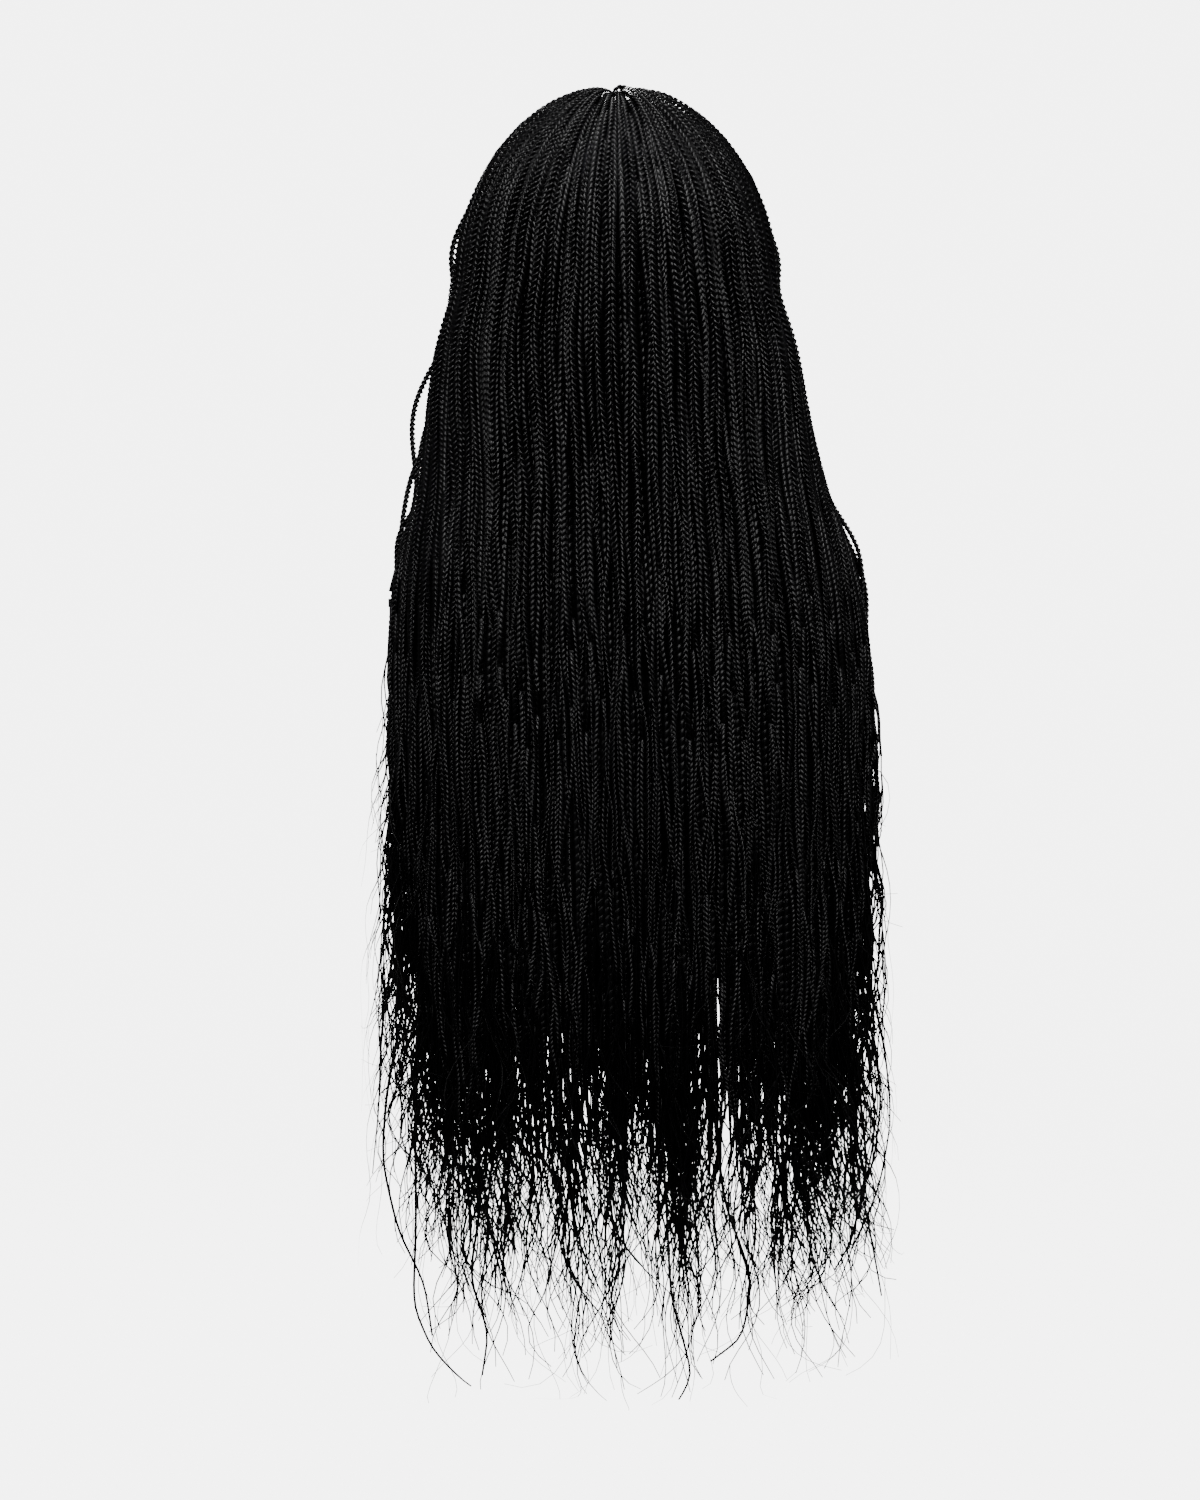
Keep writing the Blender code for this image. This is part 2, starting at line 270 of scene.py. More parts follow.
print("hair material:", hair.name)

# %% [markdown]
# The hair's form is the same as the solids': an egg-shaped shell over the cap, whose flow lines
# leave the middle parting, and below the ears a curtain with a section at each level. A point in
# the hair is named by its place round the head, from -1 at the right of the face through 0 at the
# back to 1 at the left, by its depth from the outer face to the inner, and by how far down it is.

# %% The form of the hair
HEAD_WIDTH = 152.0 * MM
HEAD_DEPTH = 192.0 * MM
CROWN_TO_WIDEST = 95.0 * MM
CAP_WALL = 1.5 * MM
LAY_GAP = 0.6 * MM
RIM_FORWARD_DEG = 56.0
RIM_NAPE_DEG = 130.0
CROWN_HAIR = 9.0 * MM
SIDE_HAIR = 29.0 * MM
BACK_HAIR = 24.5 * MM
BROW_HAIR = 7.5 * MM
EAR_DROP = 125.0 * MM
TUCK_DEG = 4.0
PARTING_WIDTH = 5.0 * MM
PARTING_BACK = 26.0 * MM
PARTING_CROWN = 2.0 * MM
PARTING_FRONT = 78.0 * MM
FACE_OPENING_DEG = 62.0
SHOULDER_DROP = 325.0 * MM
TAIL_DROP = 600.0 * MM
LONGEST_DROP = 800.0 * MM
CURTAIN_WIDTH = 308.0 * MM
CURTAIN_REACH = 129.0 * MM
CURTAIN_CENTRE = 50.0 * MM
CURTAIN_SIDE_HAIR = 28.0 * MM
NAPE_HAIR = 48.0 * MM
NAPE_LAG = 16.0 * MM
EDGE_HOOK = 5.0 * MM
SWAY = 15.0 * MM
LOCKS_A_SIDE = 12
CROWN_SHARE = 0.55
CLOSING_SHARE = 0.25
EDGE_FROM = 0.7
EDGE_THINNING = 0.5

# The cap's rim: share of the way from nape to forehead, and share of the drop between them.
RIM_TURN = (0.00, 0.20, 0.36, 0.50, 0.60, 0.68, 0.80, 1.00)
RIM_SHARE = (1.00, 0.95, 0.80, 0.66, 0.60, 0.44, 0.18, 0.00)

# The curtain's sections, in the same columns as the solids'.
Section = namedtuple("Section", "drop widen reach centre wrap side back lag sway")


def neck(way):
    return EAR_DROP + (SHOULDER_DROP - EAR_DROP) * way


def fall(way):
    return SHOULDER_DROP + (TAIL_DROP - SHOULDER_DROP) * way


SECTIONS = (
    Section(EAR_DROP, 0.00, 0.00, 0.08, 1.00, 1.00, 1.00, 1.0, 0.00),
    Section(neck(0.180), 0.26, 0.25, 0.08, 0.86, 1.00, 1.00, 1.0, 0.00),
    Section(neck(0.345), 0.38, 0.25, 0.20, 0.68, 1.00, 0.96, 0.4, 0.05),
    Section(neck(0.505), 0.48, 0.10, 0.36, 0.46, 1.00, 0.89, 0.0, 0.15),
    Section(neck(0.670), 0.62, 0.05, 0.56, 0.25, 1.00, 0.80, 0.0, 0.30),
    Section(neck(0.800), 0.80, 0.10, 0.72, 0.11, 1.00, 0.73, 0.0, 0.36),
    Section(neck(0.900), 0.88, 0.25, 0.84, 0.04, 0.96, 0.67, 0.0, 0.42),
    Section(neck(1.000), 0.95, 0.45, 0.92, 0.00, 0.93, 0.64, 0.0, 0.48),
    Section(fall(0.11), 0.99, 0.75, 0.96, 0.0, 0.90, 0.63, 0.0, 0.55),
    Section(fall(0.23), 1.00, 0.90, 1.00, 0.0, 0.90, 0.63, 0.0, 0.62),
    Section(fall(0.47), 0.99, 1.00, 1.00, 0.0, 0.84, 0.62, 0.0, 0.70),
    Section(fall(0.73), 0.97, 0.90, 1.00, 0.0, 0.78, 0.58, 0.0, 0.80),
    Section(fall(1.00), 0.93, 0.70, 1.00, 0.0, 0.74, 0.52, 0.0, 0.90),
    Section(LONGEST_DROP, 0.78, -0.60, 1.10, 0.0, 0.60, 0.34, 0.0, 1.20),
)

# %% [markdown]
# Two half egg shapes hold the hair over the cap: one that it lies on, and one round its outside.

# %% Hair over the cap
EDGE_TURN = pi - radians(FACE_OPENING_DEG)
Shell = namedtuple("Shell", "half_width back front height widest_drop")


def shell_outside_head(distance):
    return Shell(
        HEAD_WIDTH / 2 + distance,
        HEAD_DEPTH / 2 + distance,
        HEAD_DEPTH / 2 + distance,
        CROWN_TO_WIDEST + distance,
        CROWN_TO_WIDEST,
    )


LAY_SHELL = shell_outside_head(CAP_WALL + LAY_GAP)
HAIR_SHELL = Shell(
    HEAD_WIDTH / 2 + CAP_WALL + SIDE_HAIR,
    HEAD_DEPTH / 2 + CAP_WALL + BACK_HAIR,
    HEAD_DEPTH / 2 + CAP_WALL + BROW_HAIR,
    EAR_DROP + CAP_WALL + CROWN_HAIR,
    EAR_DROP,
)


def smooth_step(share):
    share = np.clip(share, 0.0, 1.0)
    return share * share * (3.0 - 2.0 * share)


def round_the_head(turn, down):
    """Directions from the head's middle. down is the angle from straight up."""
    return np.stack((np.sin(turn) * np.sin(down), np.cos(turn) * np.sin(down), np.cos(down) + 0 * turn), -1)


def on_shell(shell, way):
    reach = np.where(way[:, 1] > 0, shell.back, shell.front)
    return np.stack(
        (shell.half_width * way[:, 0], reach * way[:, 1], shell.height * way[:, 2] - shell.widest_drop), -1
    )


def above(shell, x, y):
    """The directions whose points stand above these places in plan."""
    across = x / shell.half_width
    along = y / np.where(y > 0, shell.back, shell.front)
    return np.stack((across, along, np.sqrt(1.0 - across**2 - along**2)), -1)


def along_arc(start, end, share):
    """Directions part of the way along the great circles from start to end."""
    whole = np.arccos(np.clip((start * end).sum(-1), -1.0, 1.0))
    near = np.sin((1.0 - share) * whole) / np.sin(whole)
    far = np.sin(share * whole) / np.sin(whole)
    return start * near[:, None] + end * far[:, None]


def rim_angle(turn):
    share = np.interp(np.abs(turn) / pi, RIM_TURN, RIM_SHARE)
    return np.radians(RIM_FORWARD_DEG + (RIM_NAPE_DEG - RIM_FORWARD_DEG) * share)


def thickness_kept(place):
    """Share of the thickness that is left towards the face."""
    return 1.0 - EDGE_THINNING * smooth_step((np.abs(place) - EDGE_FROM) / (1.0 - EDGE_FROM))


def dome_faces(place, share):
    """Outer and inner points over the cap, share of the way from the parting to the ears."""
    away = np.abs(place)
    root_y = np.interp(away, (0.0, CROWN_SHARE, 1.0), (PARTING_BACK, PARTING_CROWN, -PARTING_FRONT))
    root_x = np.sign(place) * PARTING_WIDTH / 2 * np.minimum(1.0, away / (CROWN_SHARE * CLOSING_SHARE))
    turn = place * EDGE_TURN
    under = round_the_head(turn, rim_angle(turn) - radians(TUCK_DEG))
    inner = on_shell(LAY_SHELL, along_arc(above(LAY_SHELL, root_x, root_y), under, share))
    level = round_the_head(turn, pi / 2)
    outer = on_shell(HAIR_SHELL, along_arc(above(HAIR_SHELL, root_x, root_y), level, share))
    return inner + (outer - inner) * thickness_kept(place)[:, None], inner


# %% [markdown]
# Below the ears the hair lets go of the head. Each section is half an ellipse, open towards the
# wearer's back.

# %% Hanging hair


def curtain_faces(place, drop):
    """Outer and inner points of the hanging hair at a level."""
    drops = [section.drop for section in SECTIONS]
    row = Section(*(np.interp(drop, drops, column) for column in zip(*SECTIONS)))
    half_width = HAIR_SHELL.half_width + (CURTAIN_WIDTH / 2 - HAIR_SHELL.half_width) * row.widen
    back = HAIR_SHELL.back + (CURTAIN_REACH - HAIR_SHELL.back) * row.reach
    centre = CURTAIN_CENTRE * row.centre
    turn = place * (pi / 2 + (EDGE_TURN - pi / 2) * row.wrap)
    full = CURTAIN_SIDE_HAIR * row.side
    side_hair = full * thickness_kept(place)
    outside = half_width - (full - side_hair) * row.wrap
    lean = -SWAY * row.sway
    lag = NAPE_LAG * row.lag * np.maximum(0.0, np.cos(turn)) ** 2
    hook = EDGE_HOOK * np.abs(np.sin(turn)) * row.side
    outer = np.stack((lean + outside * np.sin(turn), centre + (back - centre) * np.cos(turn), -drop), -1)
    inner_y = centre + (back - centre - NAPE_HAIR * row.back) * np.cos(turn) - hook
    inner = np.stack((lean + (outside - side_hair) * np.sin(turn), inner_y, -drop - lag), -1)
    return outer, inner


checked = curtain_faces(np.zeros(1), np.array([fall(0.5)]))
print("curtain at its middle, mm:", [(1000 * face[0]).round().tolist() for face in checked])

# %% [markdown]
# Real twists never run quite true, so each has a smooth wander of its own, made of three sine
# waves. Neighbours also draw together into loose columns, with dark grooves between them. The
# random numbers start from one seed, so the wig is the same each time.

# %% Wander and columns
COLUMNS = 26
UNEVENNESS = 2.0
UNEVEN_TURN = 5.0
SMOOTHING = 9
random = np.random.RandomState(36)

# A wander's sine waves: share of the longest one's length, and weight.
WANDER_WAVES = ((1.0, 0.55), (0.43, 0.3), (0.19, 0.15))

# How the columns lean to and fro. turn: how far, as an angle. length: how far down a wave takes.
# shift: how much later it comes from one side of the hair to the other, as an angle.
ColumnWave = namedtuple("ColumnWave", "turn length shift")
COLUMN_WAVES = (ColumnWave(1.3, 62 * MM, 9.0), ColumnWave(0.9, 29 * MM, 23.0))


def wander(distance, longest):
    """A smooth wander between about -1 and 1 along a twist."""
    total = 0.0 * distance
    for share, weight in WANDER_WAVES:
        total = total + weight * np.sin(2 * pi * (distance / (longest * share) + random.rand()))
    return total


def gathering(place, rough):
    """How far along its column's width a twist hangs, as an angle: 0 is a groove between two."""
    lean = sum(wave.turn * np.sin(rough / wave.length + wave.shift * place) for wave in COLUMN_WAVES)
    return pi * COLUMNS * place + UNEVENNESS * np.sin(UNEVEN_TURN * place) + lean


def smoothed(points, window):
    """The same points, each averaged with its neighbours, with the two ends kept."""
    kernel = np.hanning(window + 2)[1:-1]
    kernel /= kernel.sum()
    padded = np.concatenate((points[:1].repeat(window // 2, 0), points, points[-1:].repeat(window // 2, 0)))
    out = np.stack([np.convolve(padded[:, axis], kernel, "valid") for axis in range(3)], -1)
    out[0], out[-1] = points[0], points[-1]
    return out


def run_lengths(points):
    steps = np.linalg.norm(np.diff(points, axis=0), axis=1)
    return np.concatenate(((0.0,), np.cumsum(steps)))


# %% [markdown]
# A twist's route: it leaves the cap, fans out from the end of the parting, rises to its own
# layer, and hangs to its own tip. rough is the distance from the parting, roughly measured. The
# twist wanders more as it gets free of the head: HELD values count at its root, and FREE ones are
# added further down.

# %% Routes of the twists
DOME_POINTS = 34
DOME_LENGTH = 190 * MM
FALL_STEP = 5 * MM
ROOT_RISE = 9 * MM
HELD_LENGTH = 40 * MM
FREEING_LENGTH = 420 * MM
DRAWN_HELD = 0.12
DRAWN_FREE = 0.50
GROOVE_FREE = 0.10
LONG_WANDER = 420 * MM
LONG_WANDER_HELD = 0.006
LONG_WANDER_FREE = 0.018
SHORT_WANDER = 120 * MM
SHORT_WANDER_FREE = 0.004
DEPTH_WANDER = 300 * MM
DEPTH_WANDER_FREE = 0.05
DEPTH_WANDER_HELD_SHARE = 0.2
FAN = 0.16
FAN_EDGE = 0.3
FARTHEST_PLACE = 0.995
BULGE_SHARPNESS = 1.5


def fanned(place, layer_depth, rough):
    """How much nearer the middle of the back a twist starts than it hangs."""
    start = FAN * np.clip(-place / FAN_EDGE, -1.0, 1.0) * (1.0 - layer_depth)
    return start * np.clip(1.0 - rough / DOME_LENGTH, 0.0, 1.0) ** 2


def twist_route(place, layer_depth, first_share, last_drop, radius, freedom=1.0, loose=None):
    """Points from the cap to the tip. loose: a stretch that stands off the rest, if any."""
    shares = np.linspace(first_share, 1.0, DOME_POINTS)
    drops = np.arange(EAR_DROP, last_drop, FALL_STEP)[1:]
    rough = np.concatenate((shares * DOME_LENGTH, DOME_LENGTH + drops - EAR_DROP))
    free = freedom * smooth_step((rough - HELD_LENGTH) / FREEING_LENGTH)
    column = gathering(place, rough)
    drawn = (DRAWN_HELD + DRAWN_FREE * free) * freedom / (pi * COLUMNS) * np.sin(column)
    strayed = (LONG_WANDER_HELD + LONG_WANDER_FREE * free) * wander(rough, LONG_WANDER)
    strayed = strayed + SHORT_WANDER_FREE * freedom * wander(rough, SHORT_WANDER)
    places = place + drawn + fanned(place, layer_depth, rough) + strayed
    places = np.clip(places, -FARTHEST_PLACE, FARTHEST_PLACE)
    outer_dome, inner_dome = dome_faces(places[:DOME_POINTS], shares)
    outer_fall, inner_fall = curtain_faces(places[DOME_POINTS:], drops)
    outer = np.concatenate((outer_dome, outer_fall))
    inner = np.concatenate((inner_dome, inner_fall))
    thickness = np.linalg.norm(outer - inner, axis=1)
    groove = GROOVE_FREE * free * np.maximum(0.0, np.cos(column)) ** 2
    inward = DEPTH_WANDER_FREE * (DEPTH_WANDER_HELD_SHARE + free) * wander(rough, DEPTH_WANDER)
    depth = layer_depth + groove + inward
    rise = np.exp(-(rough - rough[0]) / ROOT_RISE)
    depth = depth + (1.0 - depth) * rise
    room = np.minimum(0.5, radius / thickness)
    depth = np.clip(depth, room, 1.0 - room)
    points = outer + (inner - outer) * depth[:, None]
    if loose:
        share = np.clip((-outer[:, 2] - loose.start) / (loose.end - loose.start), 0.0, 1.0)
        bulge = np.sin(pi * share)[:, None] ** BULGE_SHARPNESS
        points += bulge * loose.stand_off * (outer - inner) / thickness[:, None]
        points[:, 0] += bulge[:, 0] * loose.aside
    return smoothed(points, SMOOTHING)


# %% [markdown]
# A twist is kept as rows from its root to its tip: the points, the half thickness at each, and
# how many half turns of the lay lie above it.

# %% Twists
SHORTEST_HALF_TURN = 1.7 * MM
Twist = namedtuple("Twist", "points half turned")


def laid(points, at, half):
    """The twist along these points. Thin hair is laid up with shorter turns."""
    half = np.interp(run_lengths(points), at, half)
    steps = np.diff(run_lengths(points)) / (SHORTEST_HALF_TURN + half[1:])
    return Twist(points, half, np.concatenate(((0.0,), np.cumsum(steps))))


def stretch(twist, chosen):
    return Twist(*(column[chosen] for column in twist))


def respaced(twist, measure, step):
    """The twist with rows at even steps of a measure that grows along it."""
    count = max(3, int(round((measure[-1] - measure[0]) / step)) + 1)
    wanted = np.linspace(measure[0], measure[-1], count)
    points = np.stack([np.interp(wanted, measure, twist.points[:, axis]) for axis in range(3)], -1)
    return Twist(points, np.interp(wanted, measure, twist.half), np.interp(wanted, measure, twist.turned))


# %% [markdown]
# The twists are many and alike, so they are worked out as arrays of rings, and each lock's rings
# become one mesh of tubes.

# %% Rings to mesh
STRAY_SHARE = 0.03
STRAY_MARGIN = 9 * MM
SOFT_EDGE = 25 * MM
spread_out = STRAY_SHARE * (np.array(cad_high) - np.array(cad_low)) + STRAY_MARGIN
stray_low = np.array(cad_low) - spread_out
stray_high = np.array(cad_high) + spread_out


def kept_inside(points):
    """The same points, with strays drawn in softly to stay near the solids' box."""
    over = points - (stray_high - SOFT_EDGE)
    points = np.where(over > 0, stray_high - SOFT_EDGE + SOFT_EDGE * np.tanh(over / SOFT_EDGE), points)
    under = stray_low + SOFT_EDGE - points
    return np.where(under > 0, stray_low + SOFT_EDGE - SOFT_EDGE * np.tanh(under / SOFT_EDGE), points)


class Pile:
    """Rings of points that become one mesh of tubes."""

    def __init__(self):
        self.points = []
        self.quads = []
        self.caps = []
        self.lay = []
        self.count = 0

    def add(self, rings, turn, whole_turn):
        """rings: rows of points round a tube. turn: the same rows' place in the lay."""
        rows, round_it, _ = rings.shape
        index = self.count + np.arange(rows * round_it).reshape(rows, round_it)
        after = np.roll(index, -1, 1)
        quads = np.stack((index[:-1], after[:-1], after[1:], index[1:]), -1).reshape(-1, 4)
        far = np.concatenate((turn[:, 1:], turn[:, :1] + whole_turn), 1)
        lay = np.stack((turn[:-1], far[:-1], far[1:], turn[1:]), -1).reshape(-1, 4)
        self.points.append(kept_inside(rings.reshape(-1, 3)))
        self.quads.append(quads)
        self.lay.append(lay)
        self.caps.append(index[0][::-1])
        self.caps.append(index[-1])
        self.count += rows * round_it

    def mesh(self, name):
        points = np.concatenate(self.points)
        quads = np.concatenate(self.quads)
        corners = np.concatenate([quads.reshape(-1)] + self.caps)
        totals = np.concatenate([np.full(len(quads), 4)] + [np.array([len(cap)]) for cap in self.caps])
        mesh = bpy.data.meshes.new(name)
        mesh.vertices.add(len(points))
        mesh.vertices.foreach_set("co", points.astype(np.float32).reshape(-1))
        mesh.loops.add(len(corners))
        mesh.loops.foreach_set("vertex_index", corners.astype(np.int32))
        mesh.polygons.add(len(totals))
        starts = np.concatenate(((0,), np.cumsum(totals)[:-1]))
        mesh.polygons.foreach_set("loop_start", starts.astype(np.int32))
        mesh.update(calc_edges=True)
        lay = mesh.uv_layers.new(name="lay")
        values = np.zeros((len(corners), 2), np.float32)
        values[:quads.size, 0] = np.concatenate(self.lay).reshape(-1)
        lay.data.foreach_set("uv", values.reshape(-1))
        mesh.shade_smooth()
        mesh.validate()
        return mesh


# %% [markdown]
# A rope is two strands that wind round each other. Each is a slim tube of three or four corners,
# and the same corner faces out all along, so its ridge runs slantwise over the rope and catches
# the light as a stroke. Neighbouring strokes have the dark crease between them. Where the hair
# is finer or lies deeper, one round tube with the bump does as well.

# %% Rope builder
STRAND_OUT = 0.44
STRAND_HALF = 0.62


def square_to(points, side):
    """Two directions square to the route at each point. side: one that the route never follows."""
    along = np.gradient(points, axis=0)
    along /= np.linalg.norm(along, axis=1)[:, None]
    second = np.cross(along, side)
    second /= np.linalg.norm(second, axis=1)[:, None]
    return np.cross(second, along), second


def rings_round(points, side, across, out):
    """Rings round a route. across, out: a row of places for each point."""
    first, second = square_to(points, side)
    return points[:, None, :] + across[..., None] * first[:, None, :] + out[..., None] * second[:, None, :]


def add_rope(pile, twist, side, hand, phase, rings_a_half_turn, corners):
    """A modelled rope of two strands."""
    spots, half, turned = respaced(twist, twist.turned, 1.0 / rings_a_half_turn)
    half = half[:, None]
    turning = (hand * pi * turned + phase)[:, None]
    angle = -pi / 2 + 2 * pi * np.arange(corners)[None, :] / corners
    for winding in (turning, turning + pi):
        across = half * (STRAND_OUT * np.cos(winding) + STRAND_HALF * np.cos(angle))
        out = half * (STRAND_OUT * np.sin(winding) + STRAND_HALF * np.sin(angle))
        pile.add(rings_round(spots, side, across, out), (angle - winding) / (4 * pi), 0.5)


def add_plain(pile, twist, side, hand, phase, step, corners):
    """A round tube whose lay is told by its UV map."""
    spots, half, turned = respaced(twist, run_lengths(twist.points), step)
    angle = 2 * pi * np.arange(corners)[None, :] / corners
    rings = rings_round(spots, side, half[:, None] * np.cos(angle), half[:, None] * np.sin(angle))
    turning = hand * turned / 2 + phase / (2 * pi)
    pile.add(rings, np.arange(corners)[None, :] / corners - turning[:, None], 1.0)


# %% [markdown]
# Hair that hangs free follows waves. The hair of one lock shares a wave, its tuft's, and every
# wisp keeps to it in its own way.

# %% Waves of hanging hair
WAVE_LENGTHS_MM = (70, 140)
SWING_GROWTH = 0.7
SWAYS_FROM = 0.45
SWAY_GROWS_FOR = 0.50
SWAY_LENGTH = 250 * MM
SWAY_BACK = 0.6

# A wave that hanging hair follows. lean, swing: slopes, in radians. length: of one wave.
# phase: where in the wave the level of the crown is, in turns.
Wave = namedtuple("Wave", "lean swing length phase")


def new_wave(lean_spread, swing):
    lean = random.normal(0.0, lean_spread)
    return Wave(lean, swing, random.uniform(*WAVE_LENGTHS_MM) * MM, random.rand())


def near(wave, looseness):
    """A wave like this one."""
    return Wave(
        float(np.clip(wave.lean + looseness * random.standard_t(4), -0.8, 0.8)),
        wave.swing * random.uniform(0.5, 1.5),
        wave.length * random.uniform(0.85, 1.2),
        wave.phase + looseness * random.normal(0.0, 0.8),
    )


def loosened(points, sway):
    """The route with the waves that its lower part keeps."""
    at = run_lengths(points)
    share = smooth_step((at / at[-1] - SWAYS_FROM) / SWAY_GROWS_FOR)
    moved = points.copy()
    moved[:, 0] += share * sway * wander(at, SWAY_LENGTH)
    moved[:, 1] += share * SWAY_BACK * sway * wander(at, SWAY_LENGTH)
    return moved


def falling(start, length, step, waves):
    """Points that fall from start and swing more and more. waves: sideways, and back and forth."""
    count = max(4, int(length / step) + 1)
    run = np.linspace(0.0, length, count)
    grown = (run / length) ** SWING_GROWTH
    slopes = [
        grown * (wave.lean + wave.swing * np.sin(2 * pi * ((run - start[2]) / wave.length + wave.phase)))
        for wave in waves
    ]
    step = run[1]
    x, y = (np.concatenate(((0.0,), np.cumsum(np.sin(slope[:-1]) * step))) for slope in slopes)
    steep = np.cos(slopes[0][:-1]) * np.cos(slopes[1][:-1])
    z = np.concatenate(((0.0,), np.cumsum(steep * step)))
    return start + np.stack((x, y, -z), -1)


# %% [markdown]
# Near its tip a twist comes undone: it ends in a few thin wisps that swing with their tuft, and
# it sheds a fine hair that curls away.

# %% Undone ends
UNDONE = (100 * MM, 210 * MM)
WISP_LENGTHS = (0.75, 1.15)
WISP_HALF = 0.62 * MM
WISP_STEP = 10 * MM
WISP_LOOSENESS = 0.13
HAIR_BEGINS = (0.5, 0.95)
HAIR_HALF = 0.28 * MM
HAIR_LENGTHS_MM = (30, 90)
HAIR_STEPS = 7
BACKWARDS = (0.0, 1.0, 0.0)


def add_wisps(pile, start, length, count, tuft):
    """The undone strands of a twist's end, which fall much like their tuft, and a fine hair."""
    for _ in range(count):
        own = length * random.uniform(*WISP_LENGTHS)
        points = falling(start, own, WISP_STEP, (near(tuft, WISP_LOOSENESS), new_wave(0.12, 0.25)))
        wisp = laid(points, (0.0, 0.5 * own, own), (WISP_HALF, WISP_HALF * 0.9, WISP_HALF * 0.5))
        add_plain(pile, wisp, BACKWARDS, 0, 0.0, WISP_STEP, 3)
    length = random.uniform(*HAIR_LENGTHS_MM) * MM
    begun = points[int(len(points) * random.uniform(*HAIR_BEGINS))]
    points = falling(begun, length, length / HAIR_STEPS, (new_wave(0.7, 0.6), new_wave(0.7, 0.2)))
    single = laid(points, (0.0, length), (HAIR_HALF, HAIR_HALF * 0.6))
    add_plain(pile, single, BACKWARDS, 0, 0.0, length / HAIR_STEPS, 3)


# %% [markdown]
# One twist takes its half thickness from where along it a point lies. Outer twists are modelled
# ropes as far as the light picks them out, finely and then coarsely. Where hair hides a plain
# twist, its rings stand far apart.

# %% One twist
THICK_AT = (0.00, 0.03, 0.30, 0.50, 0.70, 0.85, 1.00)
THICK_HALF = tuple(half * MM for half in (1.90, 2.35, 2.20, 1.75, 1.35, 0.95, 0.70))
THICKNESS_SPREAD = (0.90, 1.08)
LEAST_PLAIN = 3 * FALL_STEP
WISPS_FROM, WISPS_BELOW = 2, 5
MODELLED = 330 * MM
COARSELY_MODELLED = 220 * MM
HIDDEN = 380 * MM
HIDDEN_STEP = 24 * MM
PLAIN_STEP = 11 * MM
SWAY_BELOW = 7 * MM
EDGE_SWAY = 7 * MM
EDGE_WIDTH = 0.3


def edge_share(place):
    """0 for most of the hair, rising to 1 at its two edges."""
    return smooth_step((abs(place) - EDGE_FROM) / EDGE_WIDTH)


def side_of(place):
    """The level direction along the hair's face, which no twist follows."""
    turn = place * EDGE_TURN
    return (np.cos(turn), -np.sin(turn), 0.0)


def add_twist(pile, route, place, hand, modelled, tuft):
    """A twist and its undone end. modelled: how far from its root it is a fine rope, or 0."""
    route = loosened(route, SWAY_BELOW + EDGE_SWAY * edge_share(place))
    side = side_of(place)
    at = run_lengths(route)
    length = at[-1]
    undone_at = length - random.uniform(*UNDONE)
    half = np.array(THICK_HALF) * random.uniform(*THICKNESS_SPREAD)
    twist = laid(route, np.array(THICK_AT) * length, half)
    phase = random.uniform(0.0, 2 * pi)
    if modelled:
        plain_from = min(modelled + COARSELY_MODELLED, undone_at - LEAST_PLAIN)
        coarse = (at > modelled - FALL_STEP) & (at < plain_from + FALL_STEP)
        add_rope(pile, stretch(twist, at < modelled), side, hand, phase, rings_a_half_turn=3, corners=4)
        add_rope(pile, stretch(twist, coarse), side, hand, phase, rings_a_half_turn=2, corners=3)
    else:
        plain_from = min(HIDDEN, undone_at - LEAST_PLAIN)
        hidden = at < plain_from + FALL_STEP
        add_plain(pile, stretch(twist, hidden), side, hand, phase, HIDDEN_STEP, 4)
    plain = (at >= plain_from) & (at < undone_at)
    add_plain(pile, stretch(twist, plain), side, hand, phase, PLAIN_STEP, 4)
    wisps = random.randint(WISPS_FROM, WISPS_BELOW)
    add_wisps(pile, route[plain][-1], length - undone_at, wisps, tuft)


# %% [markdown]
# The twists are made lock by lock, in layers from the outer face to the inner. A few thick plain
# ones, the cores, run through the middle and keep daylight out. The tips hang at ragged levels,
# higher towards the hair's two edges.

# %% Layers and tips
Layer = namedtuple("Layer", "a_lock depth first_root last_root")
LAYERS = (
    Layer(a_lock=4, depth=0.00, first_root=0.00, last_root=0.42),
    Layer(a_lock=5, depth=0.13, first_root=0.03, last_root=0.50),
    Layer(a_lock=5, depth=0.40, first_root=0.20, last_root=0.60),
    Layer(a_lock=5, depth=0.72, first_root=0.35, last_root=0.75),
    Layer(a_lock=4, depth=1.00, first_root=0.45, last_root=0.92),
)
GOLDEN_SHARE = 0.618034
CROWDING = 0.22
OUTER_DEPTH = 0.12
LOCK_ROUNDING = 0.20
TWIST_ROOM = 2.1 * MM
SHORTEST_TIP = 640 * MM
TIP_SPREAD = 190 * MM
TIP_RAGGEDNESS = (1.7, 1.8)
SIDE_RISE = 50 * MM
EDGE_RISE = 250 * MM
FULL_RISE_DEPTH = 0.25
CORES_A_LOCK = 8
CORE_DEPTHS = (0.66, 0.34)
CORE_ROOT = 0.30
CORE_FREEDOM = 0.08
CORE_TIPS = (620 * MM, 700 * MM)
CORE_AT = (0.0, 0.1, 0.86, 1.0)
CORE_HALF = 3.6 * MM
CORE_TAPER = (0.3, 1.0, 0.95, 0.15)
CORE_STEP = 20 * MM


def tip_drop(place, depth):
    """Twists inside the hair's two edges are short, so that the edges are thin."""
    edge = EDGE_RISE * edge_share(place) * min(1.0, depth / FULL_RISE_DEPTH)
    ragged = TIP_SPREAD * random.beta(*TIP_RAGGEDNESS)
    return SHORTEST_TIP + ragged - SIDE_RISE * place * place - edge


